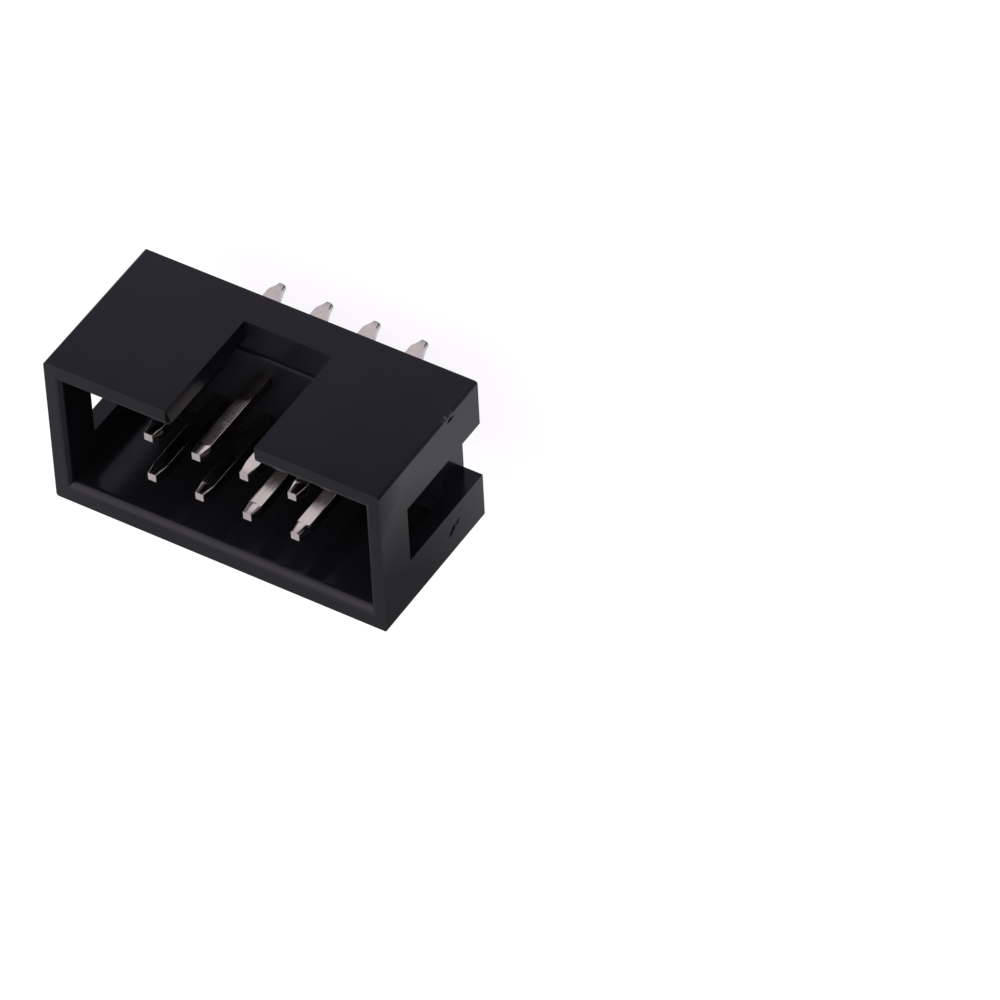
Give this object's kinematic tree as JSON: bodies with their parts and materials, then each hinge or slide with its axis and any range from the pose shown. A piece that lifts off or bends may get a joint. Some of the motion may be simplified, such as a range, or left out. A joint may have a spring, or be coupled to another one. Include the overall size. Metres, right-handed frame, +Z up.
{
  "type": "idc box header",
  "caption": "Straight shrouded box header for a ribbon-cable plug: black moulded shroud with a key notch and end slots round square tin-plated posts with through-hole tails.",
  "frame": {"origin": "middle of the housing's underside, on the plane that sits on the board", "axes": "+X along the rows of contacts, +Z up out of the mouth towards the plug, the keyed long wall on the -Y side; the solder tails hang below Z = 0"},
  "size_m": [0.0176, 0.0086, 0.0118],
  "materials": {
    "black_plastic": "satin black glass-filled moulding with fine grain",
    "tin_plate": "bright tin plate over brass wire, sheared and coined tips"
  },
  "bodies": {
    "root": {"housing": "black_plastic", "contact_1": "tin_plate", "contact_2": "tin_plate", "contact_3": "tin_plate", "contact_4": "tin_plate", "contact_5": "tin_plate", "contact_6": "tin_plate", "contact_7": "tin_plate", "contact_8": "tin_plate"}
  },
  "joints": []
}
